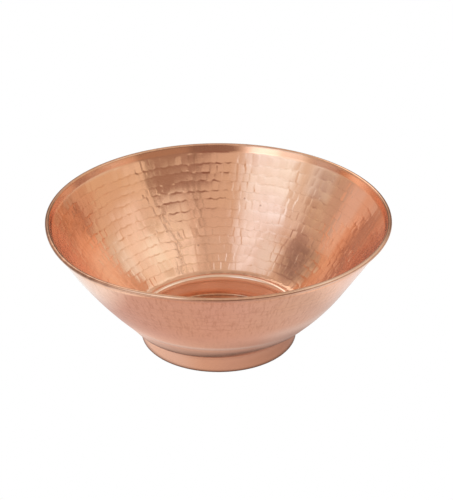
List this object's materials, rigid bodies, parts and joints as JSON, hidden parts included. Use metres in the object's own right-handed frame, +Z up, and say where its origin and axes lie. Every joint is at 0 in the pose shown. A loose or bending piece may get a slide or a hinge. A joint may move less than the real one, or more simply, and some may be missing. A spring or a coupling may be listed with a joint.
{
  "type": "hammered copper bowl",
  "caption": "Round hammered copper bowl with a wide flared wall, a wired rolled rim and a low smooth foot, for serving or display.",
  "frame": {"origin": "centre of the ring that the bowl stands on, in the plane of the table", "axes": "+Z up along the bowl's axis; the bowl is round, so X and Y are equal"},
  "size_m": [0.3199, 0.32, 0.127],
  "materials": {
    "hammered_copper": "hammered and polished",
    "polished_copper": "polished",
    "wire_copper": "drawn",
    "braze_alloy": "satin"
  },
  "bodies": {
    "root": {"bowl_wall": "hammered_copper", "foot_pan": "polished_copper", "rim_wire": "wire_copper", "foot_braze": "braze_alloy"}
  },
  "joints": []
}
